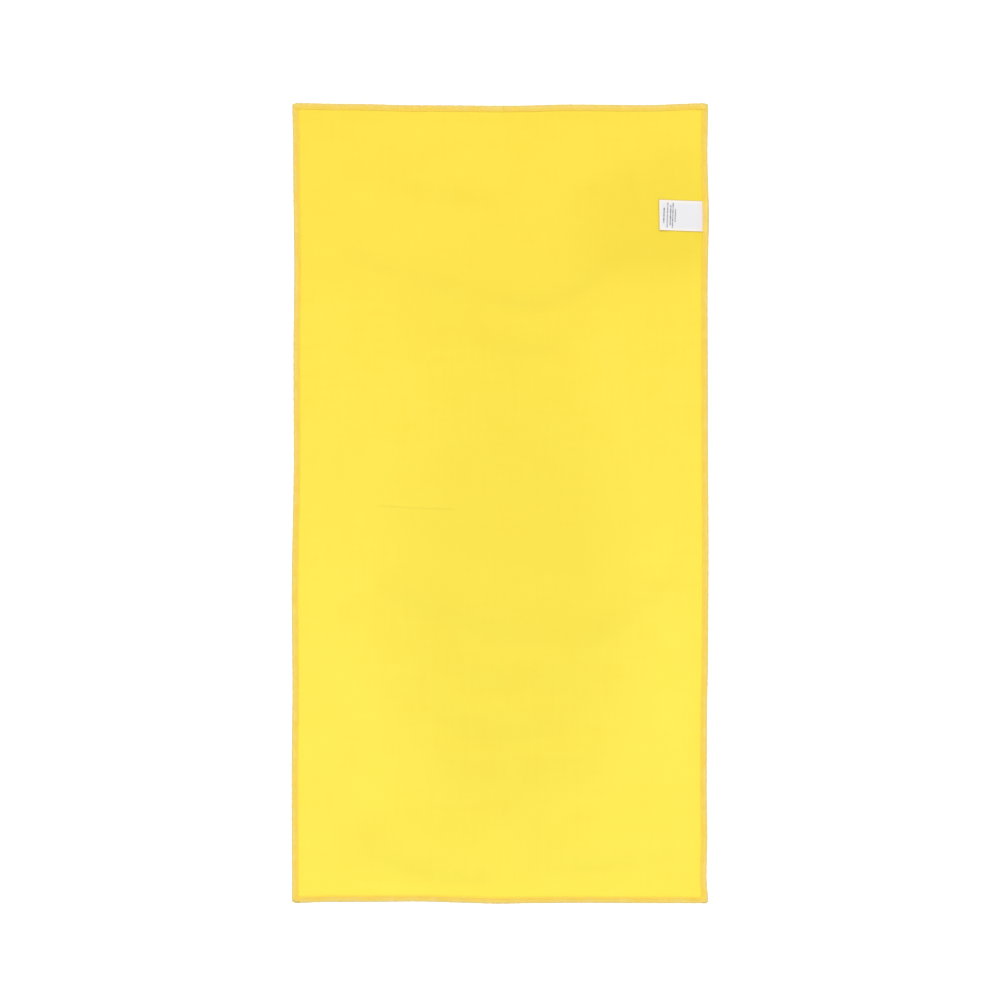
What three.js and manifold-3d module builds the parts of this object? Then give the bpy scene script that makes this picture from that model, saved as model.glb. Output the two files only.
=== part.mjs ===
// A light sports towel lying face up: one knitted microfibre panel that keeps the soft swags of its last
// hanging, an overlocked border of thread around its raw edges, and a satin care label whose right end is
// caught under the right border.
//
// Millimetres. +Z is up, +X is the towel's right and +Y its top edge. The origin is the middle of the towel,
// on the surface that it lies on.

import * as THREE from 'three';
import Module from 'manifold-3d';
import { mergeVertices } from 'three/addons/utils/BufferGeometryUtils.js';

// The whole towel, over its border
const WIDTH = 415;
const LENGTH = 798;

// The cloth, and the clearance that every piece keeps to the next
const CLOTH = 1;
const GAP = 0.3;

// The border: how far it reaches in from the raw edge and out past it, and the thickness of its thread
const BORDER_IN = 6;
const BORDER_OUT = 0.7;
const THREAD = 0.4;

// The care label: its width along the border, the middle of its free end, its turn, the part of it under
// the border, and how the border clears it on both sides and rises to it
const LABEL = {
  height: 30,
  freeX: 159.4,
  freeY: 288.1,
  turn: THREE.MathUtils.degToRad(-2.06),
  underBorder: 3.5,
  clearBeside: 1,
  borderRamp: 6,
};

// How far each edge strays out from its straight line, as the cutting and the overlocking left it.
// The corners are pulled out a little by the crossing seams.
const LEFT_EDGE = [
  { at: -399, out: 0.85 },
  { at: -272, out: 1.2 },
  { at: -185, out: 0.4 },
  { at: -92, out: 1.15 },
  { at: 48, out: -0.9 },
  { at: 148, out: -0.6 },
  { at: 228, out: -1.4 },
  { at: 348, out: -0.3 },
  { at: 399, out: 0.5 },
];
const RIGHT_EDGE = [
  { at: -399, out: 0.6 },
  { at: -372, out: -1 },
  { at: -332, out: -0.2 },
  { at: -285, out: -0.8 },
  { at: -212, out: -0.5 },
  { at: -150, out: 0.6 },
  { at: -52, out: 1 },
  { at: 88, out: 0.4 },
  { at: 208, out: 0.1 },
  { at: 288, out: 1.2 },
  { at: 348, out: -0.1 },
  { at: 399, out: 0.6 },
];
const TOP_EDGE = [
  { at: -207, out: 1.2 },
  { at: -155, out: 0.4 },
  { at: -80, out: -1 },
  { at: 10, out: -1.5 },
  { at: 70, out: -0.3 },
  { at: 145, out: -0.8 },
  { at: 207, out: 1.1 },
];
const BOTTOM_EDGE = [
  { at: -207, out: 0.9 },
  { at: -170, out: -0.2 },
  { at: -90, out: -0.7 },
  { at: -5, out: 1.2 },
  { at: 100, out: 0.6 },
  { at: 207, out: 1.1 },
];

// The strays are whole near their edge and die away towards the middle
const STRAY_WHOLE = 15;
const STRAY_GONE = 75;

// Swags: soft ridges that hang as a rounded V from two high ends to a low point. Each arm names its far
// end and how widely it bends out of the low point. The ridge has a height, a reach on its upper and on
// its lower side, and a share of the height from place to place across the towel.
const SWAGS = [
  {
    low: { x: -15, y: 318 },
    left: { x: -130, y: 342, bend: 30 },
    right: { x: 28, y: 345, bend: 20 },
    height: 1.8,
    above: 40,
    below: 28,
    shares: [
      { at: -110, share: 1.1 },
      { at: -5, share: 1.1 },
      { at: 20, share: 0.6 },
    ],
  },
  {
    low: { x: 35, y: 213 },
    left: { x: -200, y: 284, bend: 90 },
    right: { x: 128, y: 264, bend: 25 },
    height: 2.2,
    above: 60,
    below: 24,
    shares: [
      { at: -165, share: 0.9 },
      { at: -138, share: 1.1 },
      { at: -115, share: 1 },
      { at: -95, share: 0.6 },
      { at: -60, share: 0.8 },
      { at: -15, share: 0.4 },
      { at: 12, share: 1 },
      { at: 50, share: 1 },
      { at: 85, share: 1.5 },
      { at: 115, share: 1 },
    ],
  },
  {
    low: { x: 112, y: 268 },
    left: { x: 78, y: 262, bend: 10 },
    right: { x: 235, y: 296, bend: 60 },
    height: 1.5,
    above: 80,
    below: 38,
    shares: [
      { at: 96, share: 0 },
      { at: 122, share: 1 },
      { at: 145, share: 1 },
      { at: 205, share: 0.9 },
    ],
  },
  {
    low: { x: 28, y: 163 },
    left: { x: -24, y: 170, bend: 30 },
    right: { x: 80, y: 178, bend: 25 },
    height: 1.3,
    above: 32,
    below: 20,
    shares: [
      { at: -20, share: 0.7 },
      { at: 15, share: 1.2 },
      { at: 50, share: 1.1 },
      { at: 70, share: 0.6 },
    ],
  },
  {
    low: { x: 70, y: -120 },
    left: { x: -150, y: -58, bend: 120 },
    right: { x: 190, y: -36, bend: 60 },
    height: 1.8,
    above: 55,
    below: 28,
    shares: [
      { at: -120, share: 1.1 },
      { at: -60, share: 0.9 },
      { at: 20, share: 0.7 },
      { at: 80, share: 0.6 },
      { at: 105, share: 1.6 },
      { at: 128, share: 0.9 },
      { at: 160, share: 1 },
    ],
  },
  {
    low: { x: 15, y: -166 },
    left: { x: -50, y: -158, bend: 40 },
    right: { x: 84, y: -150, bend: 40 },
    height: 1.2,
    above: 28,
    below: 32,
    shares: [
      { at: -40, share: 0.8 },
      { at: 10, share: 1.1 },
      { at: 60, share: 0.9 },
    ],
  },
  {
    low: { x: -5, y: -216 },
    left: { x: -66, y: -200, bend: 40 },
    right: { x: 72, y: -205, bend: 40 },
    height: 1.6,
    above: 36,
    below: 32,
    shares: [
      { at: -50, share: 1 },
      { at: 30, share: 1.1 },
      { at: 60, share: 0.5 },
    ],
  },
  {
    low: { x: 20, y: -256 },
    left: { x: -84, y: -240, bend: 50 },
    right: { x: 110, y: -246, bend: 60 },
    height: 1,
    above: 24,
    below: 32,
    shares: [
      { at: -70, share: 1.2 },
      { at: -10, share: 0.8 },
      { at: 50, share: 1.1 },
    ],
  },
  {
    low: { x: -34, y: -364 },
    left: { x: -168, y: -320, bend: 60 },
    right: { x: 0, y: -362, bend: 10 },
    height: 1.3,
    above: 64,
    below: 20,
    shares: [
      { at: -150, share: 0.5 },
      { at: -120, share: 0.7 },
      { at: -90, share: 1.1 },
      { at: -60, share: 1.2 },
    ],
  },
  {
    low: { x: 82, y: -352 },
    left: { x: 36, y: -350, bend: 15 },
    right: { x: 200, y: -332, bend: 60 },
    height: 1.2,
    above: 64,
    below: 20,
    shares: [
      { at: 40, share: 0.7 },
      { at: 90, share: 1.4 },
      { at: 150, share: 1 },
    ],
  },
];
const ARM_FADES_FROM = 0.62;

// Mounds: low oval swellings, where the cloth beside an edge doesn't lie quite flat. The last three are
// waves in the bottom edge itself.
const MOUNDS = [
  { x: -72, y: 364, halfX: 54, halfY: 36, height: 2.2 },
  { x: -130, y: 288, halfX: 26, halfY: 34, height: 0.9 },
  { x: 170, y: 366, halfX: 40, halfY: 34, height: 1.4 },
  { x: 0, y: -400, halfX: 27, halfY: 76, height: 2 },
  { x: -122, y: -400, halfX: 46, halfY: 38, height: 1.1 },
  { x: 128, y: -400, halfX: 72, halfY: 38, height: 1.2 },
];

// Past the border's inner side, the cloth comes down to the surface over this width
const EDGE_SLOPE = 14;

// The mesh's lines: the cell between two of them, and the closer ones beside each edge
const CELL = 13;
const EDGE_LINES = [0, BORDER_IN, BORDER_IN + EDGE_SLOPE / 2, BORDER_IN + EDGE_SLOPE];

const FINISHES = {
  cloth: { color: 0xfde752, roughness: 0.95 },
  thread: { color: 0xfad664, roughness: 0.8 },
  satin: { color: 0xf1eff1, roughness: 0.45 },
};

const halfWidth = WIDTH / 2 - BORDER_OUT;
const halfLength = LENGTH / 2 - BORDER_OUT;
const edgeLift = THREAD + GAP;
const labelLift = CLOTH + GAP;

const wasm = await Module();
wasm.setup();

// The shape of the cloth

// A column's value between the rows of a table, eased so that the line has no corners
function eased(rows, column, at) {
  const next = rows.findIndex((row) => row.at >= at);
  if (next < 1) return rows.at(next)[column];
  const from = rows[next - 1];
  const to = rows[next];
  const share = THREE.MathUtils.smoothstep(at, from.at, to.at);
  return THREE.MathUtils.lerp(from[column], to[column], share);
}

// How much of an edge's stray reaches a point this far in from it
function strayShare(inward) {
  return 1 - THREE.MathUtils.smoothstep(inward, STRAY_WHOLE, STRAY_GONE);
}

// A soft hump: 1 in the middle, level there and at its rim, 0 from the rim on
function hump(distance) {
  return distance < 1 ? (1 - distance * distance) ** 2 : 0;
}

function swagHeight(swag, x, y) {
  const arm = x < swag.low.x ? swag.left : swag.right;
  const run = x - swag.low.x;
  const span = arm.x - swag.low.x;
  const rise = (arm.y - swag.low.y) / (Math.hypot(span, arm.bend) - arm.bend);
  const crestY = swag.low.y + rise * (Math.hypot(run, arm.bend) - arm.bend);
  const slope = (rise * run) / Math.hypot(run, arm.bend);
  const off = (y - crestY) / Math.hypot(1, slope);
  const reach = off > 0 ? swag.above : swag.below;
  const fade = 1 - THREE.MathUtils.smoothstep(run / span, ARM_FADES_FROM, 1);
  return swag.height * eased(swag.shares, 'share', x) * hump(Math.abs(off) / reach) * fade;
}

function moundHeight(mound, x, y) {
  return mound.height * hump(Math.hypot((x - mound.x) / mound.halfX, (y - mound.y) / mound.halfY));
}

// The underside of the cloth over a point of its flat cut. The edge rides on the border's lower thread.
function underside(x, y) {
  const inward = Math.min(halfWidth - Math.abs(x), halfLength - Math.abs(y));
  const onBorder = 1 - THREE.MathUtils.smoothstep(inward, BORDER_IN, BORDER_IN + EDGE_SLOPE);
  const swags = SWAGS.reduce((sum, swag) => sum + swagHeight(swag, x, y), 0);
  const mounds = MOUNDS.reduce((sum, mound) => sum + moundHeight(mound, x, y), 0);
  return edgeLift * onBorder + swags + mounds;
}

// Where a point of the flat cut lies, raised by some amount from the underside of the cloth
function place(x, y, raised) {
  const right = eased(RIGHT_EDGE, 'out', y) * strayShare(halfWidth - x);
  const left = eased(LEFT_EDGE, 'out', y) * strayShare(halfWidth + x);
  const top = eased(TOP_EDGE, 'out', x) * strayShare(halfLength - y);
  const bottom = eased(BOTTOM_EDGE, 'out', x) * strayShare(halfLength + y);
  return new THREE.Vector3(x + right - left, y + top - bottom, underside(x, y) + raised);
}

// Lines of the mesh from one edge to the other, closer beside both borders, with any lines added
function lines(half, added = []) {
  const inner = half - BORDER_IN - EDGE_SLOPE;
  const cells = Math.round((2 * inner) / CELL);
  const even = Array.from({ length: cells - 1 }, (_, i) => -inner + ((i + 1) * 2 * inner) / cells);
  const beside = EDGE_LINES.flatMap((inward) => [inward - half, half - inward]);
  return [...even, ...beside, ...added].sort((a, b) => a - b);
}

// The label's right end, and the rows between which the border rises to it, runs over it and comes down
const borderInnerX = halfWidth + eased(RIGHT_EDGE, 'out', LABEL.freeY) - BORDER_IN;
const labelLength = (borderInnerX + LABEL.underBorder - LABEL.freeX) / Math.cos(LABEL.turn);
const labelEndY = LABEL.freeY + labelLength * Math.sin(LABEL.turn);
const overHalf = LABEL.height / 2 + LABEL.clearBeside;
const labelRows = [
  labelEndY - overHalf - LABEL.borderRamp,
  labelEndY - overHalf,
  labelEndY + overHalf,
  labelEndY + overHalf + LABEL.borderRamp,
];
const columns = lines(halfWidth);
const rows = lines(halfLength, labelRows);

// Closed meshes

function closedGeometry(points, index) {
  const geometry = new THREE.BufferGeometry();
  geometry.setFromPoints(points);
  geometry.setIndex(index);
  geometry.computeVertexNormals();
  return geometry;
}

// Two triangles of a four-sided face whose corners run counter-clockwise as seen from outside
function face(a, b, c, d) {
  return [a, b, c, a, c, d];
}

// The panel: its underside and its upper side over the same lines, and a wall around the rim
function panelGeometry() {
  const layers = [0, CLOTH];
  const points = layers.flatMap((raised) => rows.flatMap((y) => columns.map((x) => place(x, y, raised))));
  const upper = rows.length * columns.length;
  const at = (row, column) => row * columns.length + column;
  const index = [];
  for (let row = 0; row + 1 < rows.length; row++) {
    for (let column = 0; column + 1 < columns.length; column++) {
      const a = at(row, column);
      const b = at(row, column + 1);
      const c = at(row + 1, column + 1);
      const d = at(row + 1, column);
      index.push(...face(upper + a, upper + b, upper + c, upper + d));
      index.push(a, c, b, a, d, c);
    }
  }
  const lastRow = rows.length - 1;
  const lastColumn = columns.length - 1;
  const rim = [
    ...columns.slice(0, -1).map((_, column) => at(0, column)),
    ...rows.slice(0, -1).map((_, row) => at(row, lastColumn)),
    ...columns.slice(1).map((_, column) => at(lastRow, lastColumn - column)),
    ...rows.slice(1).map((_, row) => at(lastRow - row, 0)),
  ];
  rim.forEach((here, i) => {
    const next = rim[(i + 1) % rim.length];
    index.push(...face(here, next, upper + next, upper + here));
  });
  return closedGeometry(points, index);
}

// The border's section: how far in from the raw edge, how high over the underside of the cloth, and
// the share of the label's height that a corner rises by where the border passes over the label. It
// wraps the raw edge as a C, from the inner end of its upper side.
const crown = CLOTH + GAP + THREAD;
const SECTION = [
  { inward: BORDER_IN, up: CLOTH + GAP, rides: 1 },
  { inward: BORDER_IN, up: crown - 0.1, rides: 1 },
  { inward: 4, up: crown + 0.1, rides: 1 },
  { inward: -0.2, up: crown - 0.1, rides: 0.4 },
  { inward: -BORDER_OUT, up: CLOTH, rides: 0 },
  { inward: -BORDER_OUT, up: 0, rides: 0 },
  { inward: -0.2, up: -edgeLift, rides: 0 },
  { inward: BORDER_IN, up: -edgeLift, rides: 0 },
  { inward: BORDER_IN, up: -GAP, rides: 0 },
  { inward: -GAP, up: -GAP, rides: 0 },
  { inward: -GAP, up: CLOTH + GAP, rides: 0 },
  { inward: 1.2, up: CLOTH + GAP + 0.05, rides: 1 },
];

// A sweep of one section through its stations, each a ring of points, closed at both ends
function sweepGeometry(rings) {
  const size = SECTION.length;
  const outline = SECTION.map((corner) => new THREE.Vector2(corner.inward, corner.up));
  const cap = THREE.ShapeUtils.triangulateShape(outline, []);
  const last = (rings.length - 1) * size;
  const index = [
    ...cap.flatMap(([a, b, c]) => [a, c, b]),
    ...cap.flatMap(([a, b, c]) => [last + a, last + b, last + c]),
  ];
  for (let ring = 0; ring + 1 < rings.length; ring++) {
    for (let corner = 0; corner < size; corner++) {
      const a = ring * size + corner;
      const b = ring * size + ((corner + 1) % size);
      index.push(...face(a, b, b + size, a + size));
    }
  }
  return closedGeometry(rings.flat(), index);
}

// Height of the right border over the label at a station along it
function overLabel(y) {
  const up = THREE.MathUtils.clamp((y - labelRows[0]) / LABEL.borderRamp, 0, 1);
  const down = THREE.MathUtils.clamp((labelRows[3] - y) / LABEL.borderRamp, 0, 1);
  return labelLift * Math.min(up, down);
}

// The cloth is flat between its rim and its first row, so the border's points there lie on that line
function ring(pointAt, rise) {
  const atRim = pointAt(0);
  const atRow = pointAt(BORDER_IN);
  return SECTION.map(({ inward, up, rides }) => {
    const point = atRim.clone().lerp(atRow, inward / BORDER_IN);
    point.z += up + rides * rise;
    return point;
  });
}

// The four borders run counter-clockwise round the towel. The side borders pass the corners, and the top
// and bottom borders end beside them.
const sideStations = [-halfLength - BORDER_OUT, ...rows.slice(1, -1), halfLength + BORDER_OUT];
const acrossEnd = halfWidth - BORDER_IN - GAP;
const acrossStations = [-acrossEnd, ...columns.slice(2, -2), acrossEnd];

function borderGeometry(side) {
  if (side === 'right') {
    const right = (y) => ring((inward) => place(halfWidth - inward, y, 0), overLabel(y));
    return sweepGeometry(sideStations.map(right));
  }
  if (side === 'left') {
    const left = (y) => ring((inward) => place(inward - halfWidth, y, 0), 0);
    return sweepGeometry([...sideStations].reverse().map(left));
  }
  if (side === 'top') {
    const top = (x) => ring((inward) => place(x, halfLength - inward, 0), 0);
    return sweepGeometry([...acrossStations].reverse().map(top));
  }
  const bottom = (x) => ring((inward) => place(x, inward - halfLength, 0), 0);
  return sweepGeometry(acrossStations.map(bottom));
}

// Cutting

function toSolid(geometry) {
  const bare = geometry.clone();
  bare.deleteAttribute('normal');
  bare.deleteAttribute('uv');
  const merged = mergeVertices(bare, 1e-5);
  return new wasm.Manifold(
    new wasm.Mesh({
      numProp: 3,
      vertProperties: new Float32Array(merged.attributes.position.array),
      triVerts: new Uint32Array(merged.index.array),
    }),
  );
}

function fromSolid(solid) {
  const mesh = solid.getMesh();
  const geometry = new THREE.BufferGeometry();
  geometry.setAttribute('position', new THREE.BufferAttribute(mesh.vertProperties, mesh.numProp));
  geometry.setIndex(new THREE.BufferAttribute(mesh.triVerts, 1));
  geometry.computeVertexNormals();
  return geometry;
}

// The label lies on the cloth: its outline cut from a copy of the panel that is raised clear of it
function labelGeometry(panel) {
  const deep = 40;
  const raised = panel.clone().translate(0, 0, labelLift);
  const outline = new THREE.BoxGeometry(labelLength, LABEL.height, deep);
  outline.translate(labelLength / 2, 0, 0);
  outline.rotateZ(LABEL.turn);
  outline.translate(LABEL.freeX, LABEL.freeY, 0);
  return fromSolid(toSolid(raised).intersect(toSolid(outline)));
}

// The towel

const towel = new THREE.Group();
towel.name = 'sports_towel';

function addPiece(name, geometry, finish) {
  const piece = new THREE.Mesh(geometry, new THREE.MeshStandardMaterial({ ...finish, metalness: 0 }));
  piece.name = name;
  towel.add(piece);
}

const panel = panelGeometry();
addPiece('cloth_panel', panel, FINISHES.cloth);
for (const side of ['left', 'right', 'top', 'bottom']) {
  addPiece(`overlock_${side}`, borderGeometry(side), FINISHES.thread);
}
addPiece('care_label', labelGeometry(panel), FINISHES.satin);

export default towel;
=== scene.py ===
# A light sports towel, lying flat and face up: a yellow microfibre panel with soft swags left in it, an
# orange overlocked border around its raw edges, and a small white satin label caught in its right edge.
# Metres, +Z up, +X to the towel's right, +Y to its top edge.

import math

import bpy
import numpy as np
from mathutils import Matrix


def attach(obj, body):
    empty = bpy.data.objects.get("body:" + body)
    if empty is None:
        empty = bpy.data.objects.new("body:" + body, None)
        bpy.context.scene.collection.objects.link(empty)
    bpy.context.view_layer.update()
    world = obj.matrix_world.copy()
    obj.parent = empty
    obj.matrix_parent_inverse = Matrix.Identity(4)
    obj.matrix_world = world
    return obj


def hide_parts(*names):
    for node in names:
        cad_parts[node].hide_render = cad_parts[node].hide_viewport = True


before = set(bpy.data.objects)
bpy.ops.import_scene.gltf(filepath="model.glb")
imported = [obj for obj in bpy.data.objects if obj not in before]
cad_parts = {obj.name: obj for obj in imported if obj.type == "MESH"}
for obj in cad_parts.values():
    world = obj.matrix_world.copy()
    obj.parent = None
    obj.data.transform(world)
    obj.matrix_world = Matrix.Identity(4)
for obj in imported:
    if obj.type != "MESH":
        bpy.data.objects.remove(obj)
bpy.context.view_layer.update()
MM = 0.001

# The camera looks straight down from over the middle of the picture, as the towel is shown, far enough
# up that its edges stay parallel. The picture is a metre wide at the towel.
CAMERA_UP = 2.5
PICTURE_WIDE = 1.0
SENSOR = 0.036
PICTURE_MIDDLE = (-0.0002, 0.0031)

eye = bpy.data.cameras.new("eye")
eye.sensor_width = SENSOR / MM
eye.lens = CAMERA_UP * SENSOR / PICTURE_WIDE / MM
camera = bpy.data.objects.new("camera", eye)
camera.location = (*PICTURE_MIDDLE, CAMERA_UP)
bpy.context.scene.collection.objects.link(camera)
bpy.context.scene.camera = camera

# The studio: a white floor that glows a little, so that it stays white up to the towel's edge, an even
# white surround, and one large soft lamp, far off past the towel's top edge, which shades the folds.
FLOOR_SIDE = 60.0
FLOOR_BELOW = 0.15 * MM
FLOOR_WHITE = 0.92
FLOOR_GLOW = 0.45
SURROUND = 0.885
LAMP = {"towards": (0.2, 3.2, 3.9), "looks_wide": 27.0, "strength": 1.01}

bpy.ops.object.select_all(action="DESELECT")
bpy.ops.mesh.primitive_plane_add(size=FLOOR_SIDE, location=(0, 0, -FLOOR_BELOW))
floor = bpy.context.object
floor.name = "floor"
floor_paint = bpy.data.materials.new("white_floor")
floor_paint.use_nodes = True
floor_shader = floor_paint.node_tree.nodes["Principled BSDF"]
floor_shader.inputs["Base Color"].default_value = (FLOOR_WHITE, FLOOR_WHITE, FLOOR_WHITE, 1)
floor_shader.inputs["Roughness"].default_value = 0.9
floor_shader.inputs["Specular IOR Level"].default_value = 0
floor_shader.inputs["Emission Color"].default_value = (1, 1, 1, 1)
floor_shader.inputs["Emission Strength"].default_value = FLOOR_GLOW
floor.data.materials.append(floor_paint)

surround = bpy.data.worlds.new("surround")
surround.use_nodes = True
surround.node_tree.nodes["Background"].inputs["Color"].default_value = (1, 1, 1, 1)
surround.node_tree.nodes["Background"].inputs["Strength"].default_value = SURROUND
bpy.context.scene.world = surround

light = bpy.data.lights.new("soft_lamp", "SUN")
light.angle = math.radians(LAMP["looks_wide"])
light.energy = LAMP["strength"]
lamp = bpy.data.objects.new("soft_lamp", light)
lamp.location = LAMP["towards"]
lamp.rotation_euler = (-lamp.location).to_track_quat("-Z", "Y").to_euler()
bpy.context.scene.collection.objects.link(lamp)
bpy.context.scene.view_settings.view_transform = "Standard"

# The towel panel: one rectangle cut from a yellow brushed microfibre knit, its raw edges held by the border.
# It lies as the solid cloth_panel does, with the same folds, and has the finer unevenness besides. Its size
# is the mean one over the border, in millimetres.
WIDTH = 415.0
LENGTH = 798.0
CLOTH = 0.8
# The border reaches this far in from the raw edge and this far out of it, and holds the cloth up at the edge.
# The cloth comes down again over the slope beside it.
BORDER_IN = 6.0
BORDER_OUT = 0.7
EDGE_LIFT = 0.6
EDGE_SLOPE = 14.0
HALF_WIDTH = WIDTH / 2 - BORDER_OUT
HALF_LENGTH = LENGTH / 2 - BORDER_OUT

# How far each edge strays out from its straight line: (place along the edge, stray). The cloth strays with it
# wholly as far in as the first distance below, and not at all from the second one on.
LEFT_EDGE = ((-399, 0.85), (-272, 1.2), (-185, 0.4), (-92, 1.15), (48, -0.9), (148, -0.6), (228, -1.4),
             (348, -0.3), (399, 0.5))
RIGHT_EDGE = ((-399, 0.6), (-372, -1), (-332, -0.2), (-285, -0.8), (-212, -0.5), (-150, 0.6), (-52, 1),
              (88, 0.4), (208, 0.1), (288, 1.2), (348, -0.1), (399, 0.6))
TOP_EDGE = ((-207, 1.2), (-155, 0.4), (-80, -1), (10, -1.5), (70, -0.3), (145, -0.8), (207, 1.1))
BOTTOM_EDGE = ((-207, 0.9), (-170, -0.2), (-90, -0.7), (-5, 1.2), (100, 0.6), (207, 1.1))
STRAY_WHOLE = 15.0
STRAY_GONE = 75.0
CORNER_ROUND = 2.0

# Swags: ridges that hang as a rounded V. Each has its low point, the far end of either arm with how widely
# the arm bends out of the low point, its height, its reach above and below the crest, and how full it is
# from place to place across the towel.
SWAGS = (
    {"low": (-15, 318), "left": (-130, 342, 30), "right": (28, 345, 20), "height": 1.8, "reach": (40, 28),
     "full": ((-110, 1.1), (-5, 1.1), (20, 0.6))},
    {"low": (35, 213), "left": (-200, 284, 90), "right": (128, 264, 25), "height": 2.2, "reach": (60, 24),
     "full": ((-165, 0.9), (-138, 1.1), (-115, 1), (-95, 0.6), (-60, 0.8), (-15, 0.4), (12, 1), (50, 1),
              (85, 1.5), (115, 1))},
    {"low": (112, 268), "left": (78, 262, 10), "right": (235, 296, 60), "height": 1.5, "reach": (80, 38),
     "full": ((96, 0), (122, 1), (145, 1), (205, 0.9))},
    {"low": (28, 163), "left": (-24, 170, 30), "right": (80, 178, 25), "height": 1.3, "reach": (32, 20),
     "full": ((-20, 0.7), (15, 1.2), (50, 1.1), (70, 0.6))},
    {"low": (70, -120), "left": (-150, -58, 120), "right": (190, -36, 60), "height": 1.8, "reach": (55, 28),
     "full": ((-120, 1.1), (-60, 0.9), (20, 0.7), (80, 0.6), (105, 1.6), (128, 0.9), (160, 1))},
    {"low": (15, -166), "left": (-50, -158, 40), "right": (84, -150, 40), "height": 1.2, "reach": (28, 32),
     "full": ((-40, 0.8), (10, 1.1), (60, 0.9))},
    {"low": (-5, -216), "left": (-66, -200, 40), "right": (72, -205, 40), "height": 1.6, "reach": (36, 32),
     "full": ((-50, 1), (30, 1.1), (60, 0.5))},
    {"low": (20, -256), "left": (-84, -240, 50), "right": (110, -246, 60), "height": 1.0, "reach": (24, 32),
     "full": ((-70, 1.2), (-10, 0.8), (50, 1.1))},
    {"low": (-34, -364), "left": (-168, -320, 60), "right": (0, -362, 10), "height": 1.3, "reach": (64, 20),
     "full": ((-150, 0.5), (-120, 0.7), (-90, 1.1), (-60, 1.2))},
    {"low": (82, -352), "left": (36, -350, 15), "right": (200, -332, 60), "height": 1.2, "reach": (64, 20),
     "full": ((40, 0.7), (90, 1.4), (150, 1))},
)
ARM_FADES_FROM = 0.62
# Mounds, the last three of them waves in the bottom edge: (middle x, middle y, half as wide, half as long,
# height)
MOUNDS = ((-72, 364, 54, 36, 2.2), (-130, 288, 26, 34, 0.9), (170, 366, 40, 34, 1.4),
          (0, -400, 27, 76, 2.0), (-122, -400, 46, 38, 1.1), (128, -400, 72, 38, 1.2))
# The mark of an old fold: a low band across the middle, a little aslant, that fades in at its left end and
# out at its right one
OLD_FOLD = {"left": (-65, -25), "right": (95, 135), "y": -19, "slope": 0.02, "half": 7, "high": 0.18}
# A hairline crease: it runs from left to right, rises by its bow towards the left, drops over its width, and
# goes back to the cloth's height behind it. Its ends fade out over shares of its length, from the right.
CREASE = {"left": -124, "right": -44, "y": -5.9, "bow": 3.7, "drop": 0.5, "wide": 1.5, "back": 24,
          "right_end": (0, 0.08), "left_end": (0.9, 1.08)}
# Pucker: short waves that the overlocking pulled into the cloth beside it. Their lengths are those along the
# sides and along the ends.
PUCKER_HIGH = 0.22
PUCKER_REACH = 16.0
PUCKER_BY_SIDE = (23, 31, 47)
PUCKER_BY_END = (21, 29, 53)
# How far along the waves of an opposite edge start, so that no two edges are alike
OPPOSITE = 300
# The cloth lies a little unevenly all over
LIE_HIGH = 0.09
LIE_ACROSS = (61, 97, 173)
LIE_ALONG = (71, 127, 211)
# The seam presses a groove along its needle row: (how far in, half as wide, depth)
GROOVE = (5.9, 1.3, 0.14)


def smooth(value, low, high):
    """0 below low, 1 above high, and eased between them."""
    share = np.clip((value - low) / (high - low), 0, 1)
    return share * share * (3 - 2 * share)


def eased(rows, at):
    """A value between the rows of a table, with no corners."""
    places, values = np.array(rows, float).T
    row = np.clip(np.searchsorted(places, at) - 1, 0, len(places) - 2)
    return values[row] + (values[row + 1] - values[row]) * smooth(at, places[row], places[row + 1])


def hump(distance):
    """1 in the middle, level there and at its rim, 0 from the rim on."""
    return np.where(distance < 1, (1 - np.minimum(distance, 1) ** 2) ** 2, 0)


def swag_height(swag, x, y):
    """How high one swag raises the cloth: its arms follow a crest line that is rounded at the low point."""
    low_x, low_y = swag["low"]
    on_left = (x < low_x)[..., None]
    end_x, end_y, bend = np.moveaxis(np.where(on_left, swag["left"], swag["right"]), -1, 0)
    run = x - low_x
    span = end_x - low_x
    rise = (end_y - low_y) / (np.hypot(span, bend) - bend)
    crest = low_y + rise * (np.hypot(run, bend) - bend)
    slope = rise * run / np.hypot(run, bend)
    off = (y - crest) / np.hypot(1, slope)
    above, below = swag["reach"]
    reach = np.where(off > 0, above, below)
    full = eased(swag["full"], x) * (1 - smooth(run / span, ARM_FADES_FROM, 1))
    return swag["height"] * full * hump(np.abs(off) / reach)


def underside(x, y):
    """The height of the cloth's underside over a point of its flat cut, in millimetres."""
    inward = np.minimum(HALF_WIDTH - np.abs(x), HALF_LENGTH - np.abs(y))
    height = EDGE_LIFT * (1 - smooth(inward, BORDER_IN, BORDER_IN + EDGE_SLOPE))
    for swag in SWAGS:
        height = height + swag_height(swag, x, y)
    for mid_x, mid_y, half_x, half_y, high in MOUNDS:
        height = height + high * hump(np.hypot((x - mid_x) / half_x, (y - mid_y) / half_y))
    return height


def waves(at, lengths):
    """An uneven wave between about -1 and 1: one sine for each wavelength, each with its own start."""
    return sum(np.sin(2 * math.pi * at / long + 1.7 * long) for long in lengths) / len(lengths)


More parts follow.
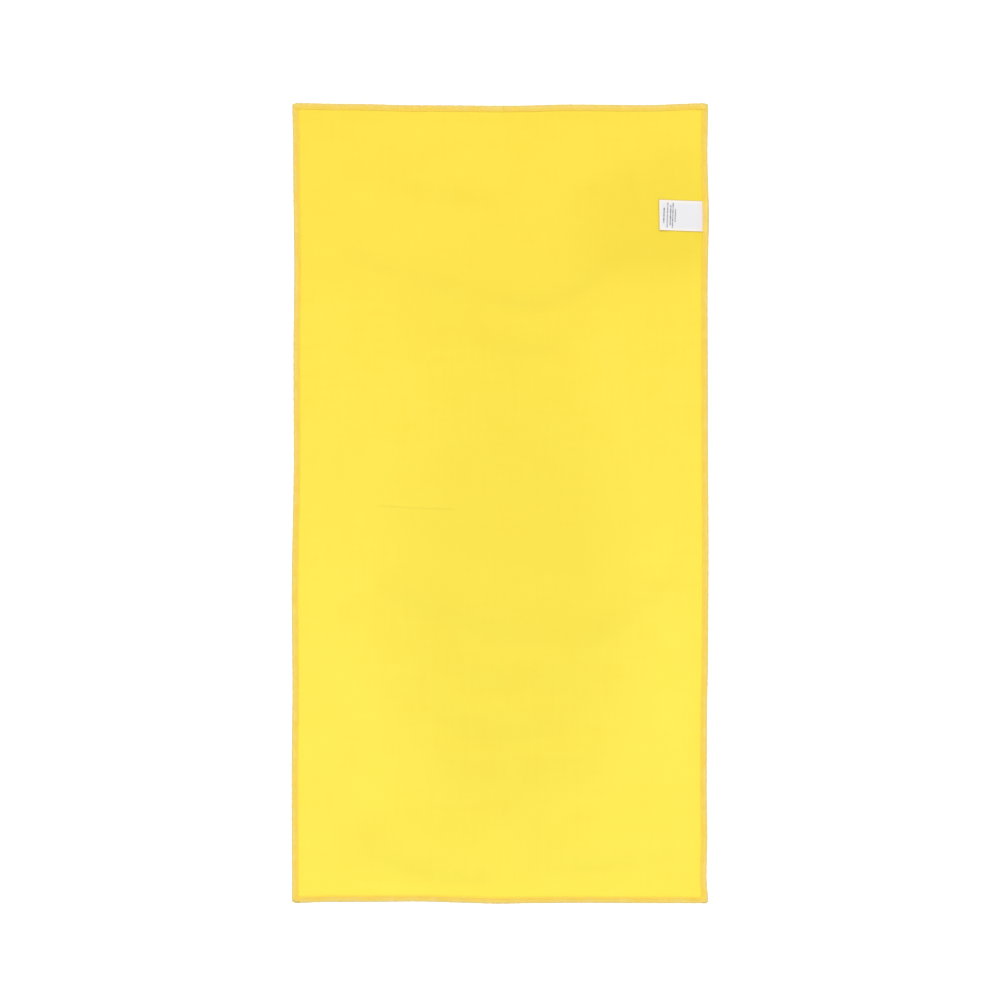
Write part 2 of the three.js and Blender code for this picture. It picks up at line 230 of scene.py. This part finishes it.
def fine_relief(x, y):
    """What the solid is too coarse for: pucker, an uneven lie, an old fold and a crease."""
    to_side = np.maximum(HALF_WIDTH - np.abs(x), 0)
    to_end = np.maximum(HALF_LENGTH - np.abs(y), 0)
    by_side = waves(y + OPPOSITE * (x > 0), PUCKER_BY_SIDE) * hump(to_side / PUCKER_REACH)
    by_end = waves(x + OPPOSITE * (y > 0), PUCKER_BY_END) * hump(to_end / PUCKER_REACH)
    lie = LIE_HIGH * waves(x + 0.35 * y, LIE_ACROSS) * waves(y - 0.2 * x, LIE_ALONG)
    from_fold = np.abs(y - OLD_FOLD["y"] - OLD_FOLD["slope"] * x)
    old_fold = OLD_FOLD["high"] * hump(from_fold / OLD_FOLD["half"]) * smooth(x, *OLD_FOLD["left"])
    old_fold = old_fold * (1 - smooth(x, *OLD_FOLD["right"]))
    along = np.clip((CREASE["right"] - x) / (CREASE["right"] - CREASE["left"]), 0, 1.1)
    over = y - CREASE["y"] - CREASE["bow"] * along ** 2
    ends = smooth(along, *CREASE["right_end"]) * (1 - smooth(along, *CREASE["left_end"]))
    lip = smooth(over, -CREASE["wide"] / 2, CREASE["wide"] / 2) * (1 - smooth(over, 0, CREASE["back"]))
    return PUCKER_HIGH * (by_side + by_end) + lie + old_fold + CREASE["drop"] * ends * lip


def round_corners(x, y):
    """Draws the square corners of the flat cut in to round ones."""
    by_side = np.clip(1 - (HALF_WIDTH - np.abs(x)) / CORNER_ROUND, 0, 1)
    by_end = np.clip(1 - (HALF_LENGTH - np.abs(y)) / CORNER_ROUND, 0, 1)
    in_x = CORNER_ROUND * by_side * (1 - np.sqrt(1 - by_end ** 2 / 2))
    in_y = CORNER_ROUND * by_end * (1 - np.sqrt(1 - by_side ** 2 / 2))
    return x - np.sign(x) * in_x, y - np.sign(y) * in_y


def stray(edge, along, inward):
    """How far the stray of one edge carries the cloth out: whole beside the edge, none well inside it."""
    return eased(edge, along) * (1 - smooth(inward, STRAY_WHOLE, STRAY_GONE))


def on_cloth(x, y, up):
    """Points over the flat cut, up from the cloth's underside, as they lie: an array of x, y, z in metres."""
    out_x = stray(RIGHT_EDGE, y, HALF_WIDTH - x) - stray(LEFT_EDGE, y, HALF_WIDTH + x)
    out_y = stray(TOP_EDGE, x, HALF_LENGTH - y) - stray(BOTTOM_EDGE, x, HALF_LENGTH + y)
    lie = np.maximum(underside(x, y) + fine_relief(x, y), 0)
    round_x, round_y = round_corners(x, y)
    return np.stack([round_x + out_x, round_y + out_y, lie + up], axis=-1) * MM


def get_points(obj):
    """The places of a mesh's points, one row for each."""
    points = np.empty(len(obj.data.vertices) * 3)
    obj.data.vertices.foreach_get("co", points)
    return points.reshape(-1, 3)


def set_points(obj, points):
    obj.data.vertices.foreach_set("co", np.ascontiguousarray(points, float).ravel())
    obj.data.update()


def wear_map(obj, of_points):
    """Gives the mesh a map of its own, from two numbers for each of its points."""
    strip = obj.data.uv_layers.active or obj.data.uv_layers.new(name="strip")
    corners = np.empty(len(obj.data.loops), int)
    obj.data.loops.foreach_get("vertex_index", corners)
    strip.data.foreach_set("uv", of_points[corners].ravel())


def only(obj):
    """Selects one object and makes it active."""
    bpy.ops.object.select_all(action="DESELECT")
    obj.select_set(True)
    bpy.context.view_layer.objects.active = obj


# The mesh's lines from one edge to the other: closer beside the edges, where the seam grips the cloth
BESIDE_EDGE = (0, 1.2, 2.4, 3.6, 4.7, 5.4, 6.1, 6.8, 7.6, 8.6, 10, 12, 14, 17, 20)
CELL = 3.15
CREASE_LINES = (-8.5, -7.6, -6.8, -6.1, -5.4, -4.7, -4, -3.3, -2.6, -1.9, -1.2, -0.4)
SMOOTH_ANGLE = 40


def lines(half, added=()):
    """The mesh's lines across one direction: even inside, and those added in place of the even ones there."""
    inner = half - BESIDE_EDGE[-1]
    even = np.linspace(-inner, inner, round(2 * inner / CELL) + 1)[1:-1]
    if added:
        even = even[(even <= min(added) - 1) | (even >= max(added) + 1)]
    beside = [side * (half - inward) for inward in BESIDE_EDGE for side in (-1, 1)]
    return np.sort(np.concatenate([even, beside, added]))


def grid(name, columns, rows):
    """A flat grid with a line at each column and row, and where its points are: (object, x, y)."""
    bpy.ops.object.select_all(action="DESELECT")
    bpy.ops.mesh.primitive_grid_add(x_subdivisions=len(columns) - 1, y_subdivisions=len(rows) - 1, size=2)
    piece = bpy.context.object
    piece.name = name
    unit = get_points(piece)
    x = columns[np.rint((unit[:, 0] + 1) / 2 * (len(columns) - 1)).astype(int)]
    y = rows[np.rint((unit[:, 1] + 1) / 2 * (len(rows) - 1)).astype(int)]
    return piece, x, y


def thicken(piece, thick):
    """Gives a sheet its thickness, in millimetres, under the face that it has."""
    wall = piece.modifiers.new("thickness", "SOLIDIFY")
    wall.thickness = thick * MM
    wall.offset = -1
    only(piece)
    bpy.ops.object.modifier_apply(modifier=wall.name)
    bpy.ops.object.shade_smooth_by_angle(angle=math.radians(SMOOTH_ANGLE))


def groove(inward):
    """How deep the seam's needle row presses the cloth, so far in from the raw edge."""
    groove_in, groove_half, groove_deep = GROOVE
    return groove_deep * hump(np.abs(inward - groove_in) / groove_half)


towel, cut_x, cut_y = grid("towel_panel", lines(HALF_WIDTH), lines(HALF_LENGTH, CREASE_LINES))
inward = np.minimum(HALF_WIDTH - np.abs(cut_x), HALF_LENGTH - np.abs(cut_y))
set_points(towel, on_cloth(cut_x, cut_y, CLOTH - groove(inward)))
thicken(towel, CLOTH)


def shade(red, green, blue):
    """A colour given as it is seen, each of its parts out of 255, as the shader takes it."""
    return tuple(((part / 255 + 0.055) / 1.055) ** 2.4 for part in (red, green, blue)) + (1,)


class Finish:
    """A node material in the making: its shader, and short ways to add and join nodes."""

    def __init__(self, name, colour, roughness):
        self.material = bpy.data.materials.new(name)
        self.material.use_nodes = True
        self.tree = self.material.node_tree
        self.shader = self.tree.nodes["Principled BSDF"]
        self.shader.inputs["Base Color"].default_value = colour
        self.shader.inputs["Roughness"].default_value = roughness
        self.place = self.add("ShaderNodeTexCoord").outputs["Object"]

    def add(self, kind, inputs=None, **settings):
        """A node with its settings. Each input, by name or number, is a value or the output that feeds it."""
        node = self.tree.nodes.new(kind)
        for name, value in settings.items():
            setattr(node, name, value)
        for name, value in (inputs or {}).items():
            if isinstance(value, bpy.types.NodeSocket):
                self.tree.links.new(value, node.inputs[name])
            else:
                node.inputs[name].default_value = value
        return node

    def noise(self, place, scale, detail, roughness):
        settings = {"Vector": place, "Scale": scale, "Detail": detail, "Roughness": roughness}
        return self.add("ShaderNodeTexNoise", settings).outputs["Fac"]

    def spread(self, value, low, high, to_low, to_high, way="SMOOTHSTEP"):
        """The value from low to high as a value from to_low to to_high, eased unless the way is LINEAR."""
        inputs = {"Value": value, 1: low, 2: high, 3: to_low, 4: to_high}
        return self.add("ShaderNodeMapRange", inputs, interpolation_type=way).outputs[0]

    def patch(self, mid_x, mid_y, turn, half_long, half_wide, strength):
        """A soft oval, placed in millimetres and turned in degrees: strength in its middle, 0 at its rim."""
        oval = {
            "Vector": self.place,
            "Location": (mid_x * MM, mid_y * MM, 0),
            "Rotation": (0, 0, math.radians(turn)),
            "Scale": (half_long * MM, half_wide * MM, 1),
        }
        inside = self.add("ShaderNodeMapping", oval, vector_type="TEXTURE").outputs[0]
        fall = self.add("ShaderNodeTexGradient", {0: inside}, gradient_type="SPHERICAL").outputs["Fac"]
        return self.spread(fall, 0.0, 0.6, 0.0, strength)

    def reckon(self, way, first, second=0.0):
        """One step of arithmetic, such as ADD or MAXIMUM."""
        return self.add("ShaderNodeMath", {0: first, 1: second}, operation=way).outputs[0]

    def sum(self, first, second):
        return self.reckon("ADD", first, second)

    def times(self, first, second):
        return self.reckon("MULTIPLY", first, second)

    def size_of(self, value):
        """The value without its sign."""
        return self.reckon("ABSOLUTE", value)

    def parts(self, place):
        """The x, y and z of a place."""
        return self.add("ShaderNodeSeparateXYZ", {0: place}).outputs

    def mix(self, share, first, second):
        node = self.add("ShaderNodeMix", {0: share}, data_type="RGBA")
        for socket, value in ((node.inputs[6], first), (node.inputs[7], second)):
            if isinstance(value, bpy.types.NodeSocket):
                self.tree.links.new(value, socket)
            else:
                socket.default_value = value
        return node.outputs[2]

    def bump(self, height, deep):
        inputs = {"Height": height, "Strength": 1.0, "Distance": deep}
        self.tree.links.new(self.add("ShaderNodeBump", inputs).outputs[0], self.shader.inputs["Normal"])

    def colour(self, socket):
        self.tree.links.new(socket, self.shader.inputs["Base Color"])


# Broad patches of painted shade, where the yellow is mixed towards a dull dark shade, and of painted light
# where the steps are below 0: the patch's middle, its turn, half its length and width, and by how many steps
# it is duller
PAINTED_SHADE_PATCHES = (
    (8, -100, 90, 335, 158, 5.2),
    (158, 282, 4, 124, 80, 6.4),
    (0, 212, 10, 140, 95, 2.4),
    (-90, -338, 0, 92, 52, 2.0),
    (95, -334, 0, 60, 42, 0.8),
    (-180, 174, 20, 46, 52, -1.4),
    (172, -196, 90, 120, 26, -1.2),
    (-176, -90, 90, 64, 26, -1.0),
)
# How many steps of painted shade lie all over, and the share of the dull shade that one step mixes in
PAINTED_SHADE_ALL_OVER = 1.5
PAINTED_SHADE_STEP = 0.025
# How deep the yellow is, on a scale from the palest shade to the deepest one. It deepens up the towel: (from
# this place, to this one, in metres, how deep at the first, how deep at the second). The nap's unevenness and
# streaks add to it or take from it.
PALEST = -9
DEEPEST = 11
DEEPENS = (-0.25, 0.42, -6.4, 2.2)
NAP_UNEVEN = 0.9
STREAKED = 0.6
# A noise lies between these values nearly everywhere
NOISE_LOW = 0.3
NOISE_HIGH = 0.7

# Brushed microfibre: fine upright wales under a short nap that lies this way and that. The yellow is deeper
# towards the top. Broad painted shade makes it a little duller down the middle, and painted light makes it
# paler along the lower sides.
cloth_finish = Finish("brushed_microfibre", shade(247, 223, 74), 0.92)
cloth_finish.shader.inputs["Specular IOR Level"].default_value = 0.15
cloth_finish.shader.inputs["Sheen Weight"].default_value = 0.12
cloth_finish.shader.inputs["Sheen Roughness"].default_value = 0.6
cloth_finish.shader.inputs["Sheen Tint"].default_value = (1, 0.95, 0.7, 1)
deeper = cloth_finish.spread(cloth_finish.parts(cloth_finish.place)[1], *DEEPENS)
nap = cloth_finish.noise(cloth_finish.place, 22.0, detail=4.0, roughness=0.6)
uneven = cloth_finish.spread(nap, NOISE_LOW, NOISE_HIGH, -NAP_UNEVEN, NAP_UNEVEN)
deeper = cloth_finish.sum(deeper, uneven)
# streaks of the brushed nap, along the wales and across them
for stretch in ((150, 14, 1), (16, 130, 1)):
    along_nap = cloth_finish.add("ShaderNodeMapping", {0: cloth_finish.place, "Scale": stretch}).outputs[0]
    streak = cloth_finish.noise(along_nap, 1.0, detail=4.0, roughness=0.65)
    streak = cloth_finish.spread(streak, NOISE_LOW, NOISE_HIGH, -STREAKED, STREAKED)
    deeper = cloth_finish.sum(deeper, streak)
share = cloth_finish.spread(deeper, PALEST, DEEPEST, 0.0, 1.0, "LINEAR")
yellow = cloth_finish.mix(share, shade(244, 229, 84), shade(244, 209, 60))
# painted shade over broad patches, and painted light where a patch's steps are below 0: the yellow is mixed
# towards a dull dark shade
flat = PAINTED_SHADE_ALL_OVER
for patch in PAINTED_SHADE_PATCHES:
    flat = cloth_finish.sum(flat, cloth_finish.patch(*patch))
yellow = cloth_finish.mix(cloth_finish.times(flat, PAINTED_SHADE_STEP), yellow, shade(208, 181, 10))
wales = cloth_finish.add(
    "ShaderNodeTexWave",
    {"Vector": cloth_finish.place, "Scale": 260.0, "Distortion": 1.5, "Detail": 1.0, "Detail Scale": 3.0},
    bands_direction="X",
).outputs["Fac"]
fibres = cloth_finish.noise(cloth_finish.place, 2600.0, detail=3.0, roughness=0.7)
tone = cloth_finish.spread(fibres, NOISE_LOW, NOISE_HIGH, 0.0, 0.12)
cloth_finish.colour(cloth_finish.mix(tone, yellow, shade(236, 205, 58)))
cloth_finish.bump(cloth_finish.sum(cloth_finish.times(wales, 0.5), fibres), 0.09 * MM)
towel.data.materials.append(cloth_finish.material)

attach(towel, "root")
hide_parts("cloth_panel")

# The border: a three-thread overlock of textured polyester, sewn around the raw edges of the cloth. One
# stitch is made of its loops, repeated along a run, and laid around each edge. The four runs cross at the
# corners.
PITCH = 2.1
# The share of the threads' height over and under the cloth that is left once they are pulled tight
FLATTENED = 0.45
# The loops turn this far past the raw edge, where the pulled thread is drawn thin
RIM = 0.5
TURN_THIN = 0.6
MID = CLOTH / 2
OVER = CLOTH + 0.34
UNDER = -0.32
# The threads of one stitch, each with how thick it is and its points, as (share of the pitch, how far in from
# the raw edge, height over the underside of the cloth)
STITCH = {
    "upper loop": (1.14, (
        (-0.03, 5.5, CLOTH + 0.1), (0.08, 5.46, CLOTH + 0.2), (0.19, 5.05, OVER), (0.25, 4.2, OVER),
        (0.29, 0.7, OVER), (0.35, 0, CLOTH + 0.15), (0.43, -RIM, MID + 0.14), (0.57, -RIM, MID + 0.14),
        (0.65, 0, CLOTH + 0.15), (0.71, 0.7, OVER), (0.75, 4.2, OVER), (0.81, 5.05, OVER),
        (0.92, 5.46, CLOTH + 0.2), (1.03, 5.5, CLOTH + 0.1),
    )),
    "lower loop": (1.0, (
        (-0.02, 5.3, 0), (0.2, 4.7, UNDER), (0.28, 0.5, UNDER), (0.42, -RIM, MID - 0.14),
        (0.58, -RIM, MID - 0.14), (0.72, 0.5, UNDER), (0.8, 4.7, UNDER), (1.02, 5.3, 0),
    )),
    "needle": (0.62, ((-0.02, 5.35, CLOTH - 0.1), (0.22, 5.35, CLOTH + 0.42), (0.78, 5.35, CLOTH + 0.42),
                      (1.02, 5.35, CLOTH - 0.1))),
    "rim": (0.9, ((-0.02, -0.24, MID), (1.02, -0.24, MID))),
}


def thread(points, thick):
    """A length of thread through points in millimetres, as a four-sided tube, thinner around the rim."""
    bpy.ops.curve.primitive_nurbs_path_add()
    path = bpy.context.object
    path.data.splines.clear()
    line = path.data.splines.new("POLY")
    line.points.add(len(points) - 1)
    for point, place in zip(line.points, points):
        point.co = (*place, 1)
        point.radius = TURN_THIN if place[1] <= -RIM else 1
    path.data.bevel_depth = thick / 2
    path.data.bevel_resolution = 0
    path.data.use_fill_caps = True
    bpy.ops.object.convert(target="MESH")
    return bpy.context.object


def stitch():
    """One overlock stitch along +X from 0, with +Y in from the raw edge, in millimetres."""
    bpy.ops.object.select_all(action="DESELECT")
    threads = [thread([(share * PITCH, inward, up) for share, inward, up in path], thick)
               for thick, path in STITCH.values()]
    for piece in threads:
        piece.select_set(True)
    bpy.context.view_layer.objects.active = threads[0]
    bpy.ops.object.join()
    return bpy.context.object


def run_of_stitches(name, long):
    """A straight run of stitches, its middle at X = 0."""
    run = stitch()
    run.name = name
    repeat = run.modifiers.new("stitches", "ARRAY")
    repeat.count = math.ceil(long / PITCH)
    repeat.use_relative_offset = False
    repeat.use_constant_offset = True
    repeat.constant_offset_displace = (long / repeat.count, 0, 0)
    bpy.ops.object.modifier_apply(modifier=repeat.name)
    points = get_points(run)
    points[:, 0] -= long / 2
    set_points(run, points)
    return run


# The chain of thread left where the bottom run starts and ends, tucked back along its rim: (from, to, how
# far in). It has two strands, twisted together. In the thread's map it has a mark in place of how far in it
# is, so that painted shade can make it darker.
TAILS = ((-205.4, -200.0, 0.7), (201.2, 206.6, -0.1))
STRAND = 0.5
STRAND_TWIST = 0.18
TAIL_UP = CLOTH + 0.9
TAIL_MARK = -3.0


def add_tails(run):
    """Joins the two chains of thread to the bottom run."""
    strands = []
    for start, end, inward in TAILS:
        d = np.linspace(start, end, 19)
        for turn in (0, math.pi):
            off = STRAND_TWIST * np.cos(3 * d + turn)
            over = STRAND_TWIST * np.sin(3 * d + turn)
            strands.append(thread(np.stack([d, inward + off, TAIL_UP + over], axis=-1), STRAND))
    only(run)
    for strand in strands:
        strand.select_set(True)
    bpy.ops.object.join()


# Where the label lies under the right run: the middle of its end, half its height, how far it lifts the run,
# and how far beside it the run is down again
LABEL_END_Y = 286.5
LABEL_HALF = 15.0
LABEL_LIFT = 0.42
LABEL_RAMP = 3.0
# The runs along the sides pass the corners. Those along the top and bottom start this far in from the side
# edges and climb over the side runs, between the two places named.
PAST_CORNER = 0.3
CROSS_FROM = 2.6
CROSS_LIFT = 0.35
CROSS_CLIMB = (7.5, 5.5)
# How far the uneven tension carries the stitches along the edge, their slant, the needle row and the tips of
# the loops, each with the lengths of its waves
DRIFT = (0.22, (9, 17, 37))
SLANT = (0.12, (5.1, 7.7))
NEEDLE_ROW = (0.28, (5.3, 13, 41))
TIPS = (0.2, (4.2, 6.9, 11))
# The lowest that a thread lies over what the towel lies on
LEAST_UP = 0.02


def wander(kind, at):
    """How far one kind of unevenness carries a place."""
    far, lengths = kind
    return far * waves(at, lengths)


def lay_border(side):
    """One run of stitches around one edge of the towel."""
    along_side = side in ("left", "right")
    long = 2 * (HALF_LENGTH + PAST_CORNER) if along_side else 2 * (HALF_WIDTH - CROSS_FROM)
    run = run_of_stitches(f"border_{side}", long)
    stitched = len(run.data.vertices)
    if side == "bottom":
        add_tails(run)
    # d runs along the edge, inward from the raw edge, and up from the cloth's underside
    d, inward, up = get_points(run).T
    d = d + wander(DRIFT, d + 40) * smooth(long / 2 - np.abs(d), 0, 12)
    d = d + wander(SLANT, d + 0.8 * inward)
    inward = inward + wander(NEEDLE_ROW, d) * smooth(inward, -RIM, 4)
    inward = inward + wander(TIPS, d + 90) * (1 - smooth(inward, -RIM, 1.5))
    beyond = up - np.clip(up, 0, CLOTH)
    up = np.clip(up, 0, CLOTH) + FLATTENED * beyond
    if side == "right":
        off = np.abs(d - LABEL_END_Y) - LABEL_HALF
        up = up + LABEL_LIFT * (1 - smooth(off, 0.3, LABEL_RAMP)) * smooth(up, MID, CLOTH)
    if not along_side:
        climb_from, climb_to = CROSS_CLIMB
        climb = smooth(np.abs(d), HALF_WIDTH - climb_from, HALF_WIDTH - climb_to)
        up = up + CROSS_LIFT * climb * smooth(up, MID, CLOTH)
    x, y = {
        "bottom": (d, inward - HALF_LENGTH),
        "right": (HALF_WIDTH - inward, d),
        "top": (-d, HALF_LENGTH - inward),
        "left": (inward - HALF_WIDTH, -d),
    }[side]
    # the threads keep the height of the cloth that they hold, and stay clear of what it lies on
    held_x = np.clip(x, -HALF_WIDTH, HALF_WIDTH)
    held_y = np.clip(y, -HALF_LENGTH, HALF_LENGTH)
    laid = on_cloth(held_x, held_y, up)
    laid[:, 0] += (x - held_x) * MM
    laid[:, 1] += (y - held_y) * MM
    laid[:, 2] = np.maximum(laid[:, 2], LEAST_UP * MM)
    set_points(run, laid)
    inward[stitched:] = TAIL_MARK
    wear_map(run, np.stack([d, inward], axis=-1))
    only(run)
    bpy.ops.object.shade_smooth()
    return run


# Textured polyester thread, an orange yellow: dull, softly fibrous, a little uneven in its dye, and yellower
# at the corners, where the pulled-tight threads let the cloth through. Painted shade makes it greyer around
# the rim, where the loops turn down, and darker on its tails.
thread_finish = Finish("overlock_thread", shade(254, 219, 106), 0.8)
thread_finish.shader.inputs["Specular IOR Level"].default_value = 0.25
thread_finish.shader.inputs["Sheen Weight"].default_value = 0.3
thread_finish.shader.inputs["Sheen Roughness"].default_value = 0.5
thread_finish.shader.inputs["Sheen Tint"].default_value = (1, 0.85, 0.45, 1)
inwards = thread_finish.parts(thread_finish.add("ShaderNodeUVMap").outputs[0])[1]
x_y_z = thread_finish.parts(thread_finish.place)
# A corner's patch starts this far in from both raw edges, and is whole this far in from them
CORNER_FROM = 4.5
CORNER_WHOLE = 1.5
near_edges = [
    thread_finish.spread(
        thread_finish.size_of(place), (half - CORNER_FROM) * MM, (half - CORNER_WHOLE) * MM, 0.0, 1.0
    )
    for place, half in ((x_y_z[0], HALF_WIDTH), (x_y_z[1], HALF_LENGTH))
]
dye = thread_finish.noise(thread_finish.place, 80.0, detail=4.0, roughness=0.65)
dye = thread_finish.spread(dye, 0.35, 0.65, 0.0, 1.0)
orange = thread_finish.mix(dye, shade(255, 221, 94), shade(255, 228, 122))
at_needle = thread_finish.spread(inwards, 1.8, 5.2, 0.0, 0.85, "LINEAR")
orange = thread_finish.mix(at_needle, orange, shade(255, 220, 79))
orange = thread_finish.mix(thread_finish.times(*near_edges), orange, shade(238, 220, 116))
# painted shade around the rim, where the loops turn down: the thread is greyer there
rim_painted_shade = thread_finish.spread(inwards, -0.1, 1.8, 1.0, 0.0)
orange = thread_finish.mix(rim_painted_shade, orange, shade(231, 210, 144))
# the white tape shows through the threads that hold it
on_label = thread_finish.patch(HALF_WIDTH - BORDER_IN, LABEL_END_Y, 90, LABEL_HALF + 2, 6, 0.6)
orange = thread_finish.mix(on_label, orange, shade(236, 214, 150))
# painted shade on the tails: they are darker
tail_painted_shade = thread_finish.spread(inwards, TAIL_MARK + 0.5, TAIL_MARK + 1, 1.0, 0.0)
orange = thread_finish.mix(tail_painted_shade, orange, shade(186, 168, 88))
ply = thread_finish.add(
    "ShaderNodeTexWave",
    {"Vector": thread_finish.place, "Scale": 900.0, "Distortion": 2.0},
    bands_direction="DIAGONAL",
).outputs["Fac"]
thread_finish.colour(thread_finish.mix(thread_finish.times(ply, 0.12), orange, shade(255, 206, 88)))
thread_finish.bump(ply, 0.06 * MM)

for side in ("left", "right", "top", "bottom"):
    border = lay_border(side)
    border.data.materials.append(thread_finish.material)
    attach(border, "root")
    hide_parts(f"overlock_{side}")

# The care label: a short piece of white satin tape, cut hot so that its ends hold, its right end caught
# under the right border. It lies on the cloth and its free end lifts a little.
LABEL_FREE = (158.3, 287.95)
LABEL_TURN = math.radians(-2.06)
LABEL_LONG = 46.9
LABEL_WIDE = 30.8
LABEL_THICK = 0.24
LABEL_OVER_CLOTH = 0.26
LABEL_CELL = 0.75
# Its free end was cut askew, so that it starts this much further right for each millimetre down it
LABEL_SKEW = 0.05
# The free end lifts by this much at its corners and by a share of it in its middle, and comes down over this
# length
FREE_END_LIFTS = 0.9
LIFT_IN_MIDDLE = 0.35
LIFT_LONG = 14
# A slight ripple along it, none where it is sewn down
RIPPLE = (0.08, (15, 27))

columns = np.linspace(0, LABEL_LONG, round(LABEL_LONG / LABEL_CELL) + 1)
rows = np.linspace(-LABEL_WIDE / 2, LABEL_WIDE / 2, round(LABEL_WIDE / LABEL_CELL) + 1)
label, from_free, off_middle = grid("label_tape", columns, rows)
from_free = from_free - LABEL_SKEW * off_middle * (1 - from_free / LABEL_LONG)
label_x = LABEL_FREE[0] + from_free * math.cos(LABEL_TURN) - off_middle * math.sin(LABEL_TURN)
label_y = LABEL_FREE[1] + from_free * math.sin(LABEL_TURN) + off_middle * math.cos(LABEL_TURN)
corner_share = (np.abs(off_middle) / (LABEL_WIDE / 2)) ** 2
lifted = LIFT_IN_MIDDLE + (1 - LIFT_IN_MIDDLE) * corner_share
lifted = FREE_END_LIFTS * lifted * (1 - smooth(from_free, 0, LIFT_LONG))
ripple = wander(RIPPLE, from_free + 0.4 * off_middle) * smooth(LABEL_LONG - from_free, 2, 10)
rise = CLOTH + LABEL_OVER_CLOTH + LABEL_THICK + lifted + ripple - groove(HALF_WIDTH - label_x)
set_points(label, on_cloth(label_x, label_y, rise))
thicken(label, LABEL_THICK)

# White satin: fine floats across the tape, denser and whiter beside its edges, and plain printed rules near
# the free end. The pattern follows the tape: u runs from its free end, v across it.
free_x, free_y = np.array(LABEL_FREE)[:, None]
on_tape = (get_points(label) - on_cloth(free_x, free_y, 0))[:, :2] / MM
wear_map(label, on_tape @ [[math.cos(LABEL_TURN), -math.sin(LABEL_TURN)],
                           [math.sin(LABEL_TURN), math.cos(LABEL_TURN)]])

satin_finish = Finish("white_satin", shade(240, 238, 241), 0.45)
satin_finish.shader.inputs["Specular IOR Level"].default_value = 0.4
satin_finish.shader.inputs["Sheen Weight"].default_value = 0.1
tape_place = satin_finish.add("ShaderNodeUVMap").outputs[0]
u, v = satin_finish.parts(tape_place)[:2]
from_middle = satin_finish.size_of(v)
LABEL_SIDE = LABEL_WIDE / 2
selvedge = satin_finish.spread(from_middle, LABEL_SIDE - 4.5, LABEL_SIDE - 0.8, 0.0, 1.0)
free_end = satin_finish.spread(u, 0.8, 2.6, 1.0, 0.0)
denser = satin_finish.reckon("MAXIMUM", selvedge, free_end)
near_root = satin_finish.spread(u, LABEL_LONG - 11.5, LABEL_LONG - 5.0, 0.0, 1.0)
white = satin_finish.mix(denser, shade(226, 226, 229), shade(239, 233, 224))
white = satin_finish.mix(satin_finish.times(near_root, 0.6), white, shade(234, 220, 216))
# Its edges are darker: painted shadow along its sides and its free end, where the hot cut has also browned
# it.
# Wholly so as far in as the first of these, and not from the second on
DARK_EDGE_WHOLE = 0.3
DARK_EDGE = 0.55
from_cut = satin_finish.sum(u, satin_finish.times(v, LABEL_SKEW))
at_cut = satin_finish.spread(from_cut, DARK_EDGE_WHOLE, DARK_EDGE, 1.0, 0.0)
at_side = satin_finish.spread(from_middle, LABEL_SIDE - DARK_EDGE, LABEL_SIDE - DARK_EDGE_WHOLE, 0.0, 1.0)
edge_seal_and_painted_shadow = satin_finish.reckon("MAXIMUM", at_cut, at_side)
# painted shadow around the tape's edges, together with the browning of its hot-cut end
white = satin_finish.mix(satin_finish.times(edge_seal_and_painted_shadow, 0.8), white, shade(196, 176, 112))
# The rules: (place from the free end, lowest v, highest v, strength of the ink)
RULES = ((4.8, -8.0, 7.2, 0.9), (8.3, -12.4, 12.6, 0.72), (11.35, -10.0, 10.2, 0.85),
         (13.6, -12.6, 12.4, 0.8), (16.1, -6.6, 6.6, 0.8))
RULE_HALF = 0.66
RULE_SOFT = 0.1
# Each rule is broken at other places, because its dashes start this many times its place further on
DASHES_START = 9.7
ink = 0.0
for rule_u, low_v, high_v, strength in RULES:
    off_rule = satin_finish.size_of(satin_finish.reckon("SUBTRACT", u, rule_u))
    on_rule = satin_finish.spread(off_rule, RULE_HALF * 0.8, RULE_HALF, strength, 0.0)
    in_span = satin_finish.times(
        satin_finish.spread(v, low_v - RULE_SOFT, low_v + RULE_SOFT, 0.0, 1.0),
        satin_finish.spread(v, high_v - RULE_SOFT, high_v + RULE_SOFT, 1.0, 0.0),
    )
    dash = satin_finish.add(
        "ShaderNodeTexNoise",
        {"W": satin_finish.sum(v, DASHES_START * rule_u), "Scale": 1.1, "Detail": 1.0},
        noise_dimensions="1D",
    ).outputs["Fac"]
    on_rule = satin_finish.times(on_rule, satin_finish.spread(dash, 0.41, 0.44, 0.05, 1.0))
    ink = satin_finish.sum(satin_finish.times(on_rule, in_span), ink)
satin_finish.colour(satin_finish.mix(ink, white, shade(82, 84, 90)))
floats = satin_finish.add(
    "ShaderNodeTexWave", {"Vector": tape_place, "Scale": 1.6, "Distortion": 0.6}, bands_direction="X"
).outputs["Fac"]
satin_finish.bump(floats, 0.02 * MM)
label.data.materials.append(satin_finish.material)

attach(label, "root")
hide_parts("care_label")
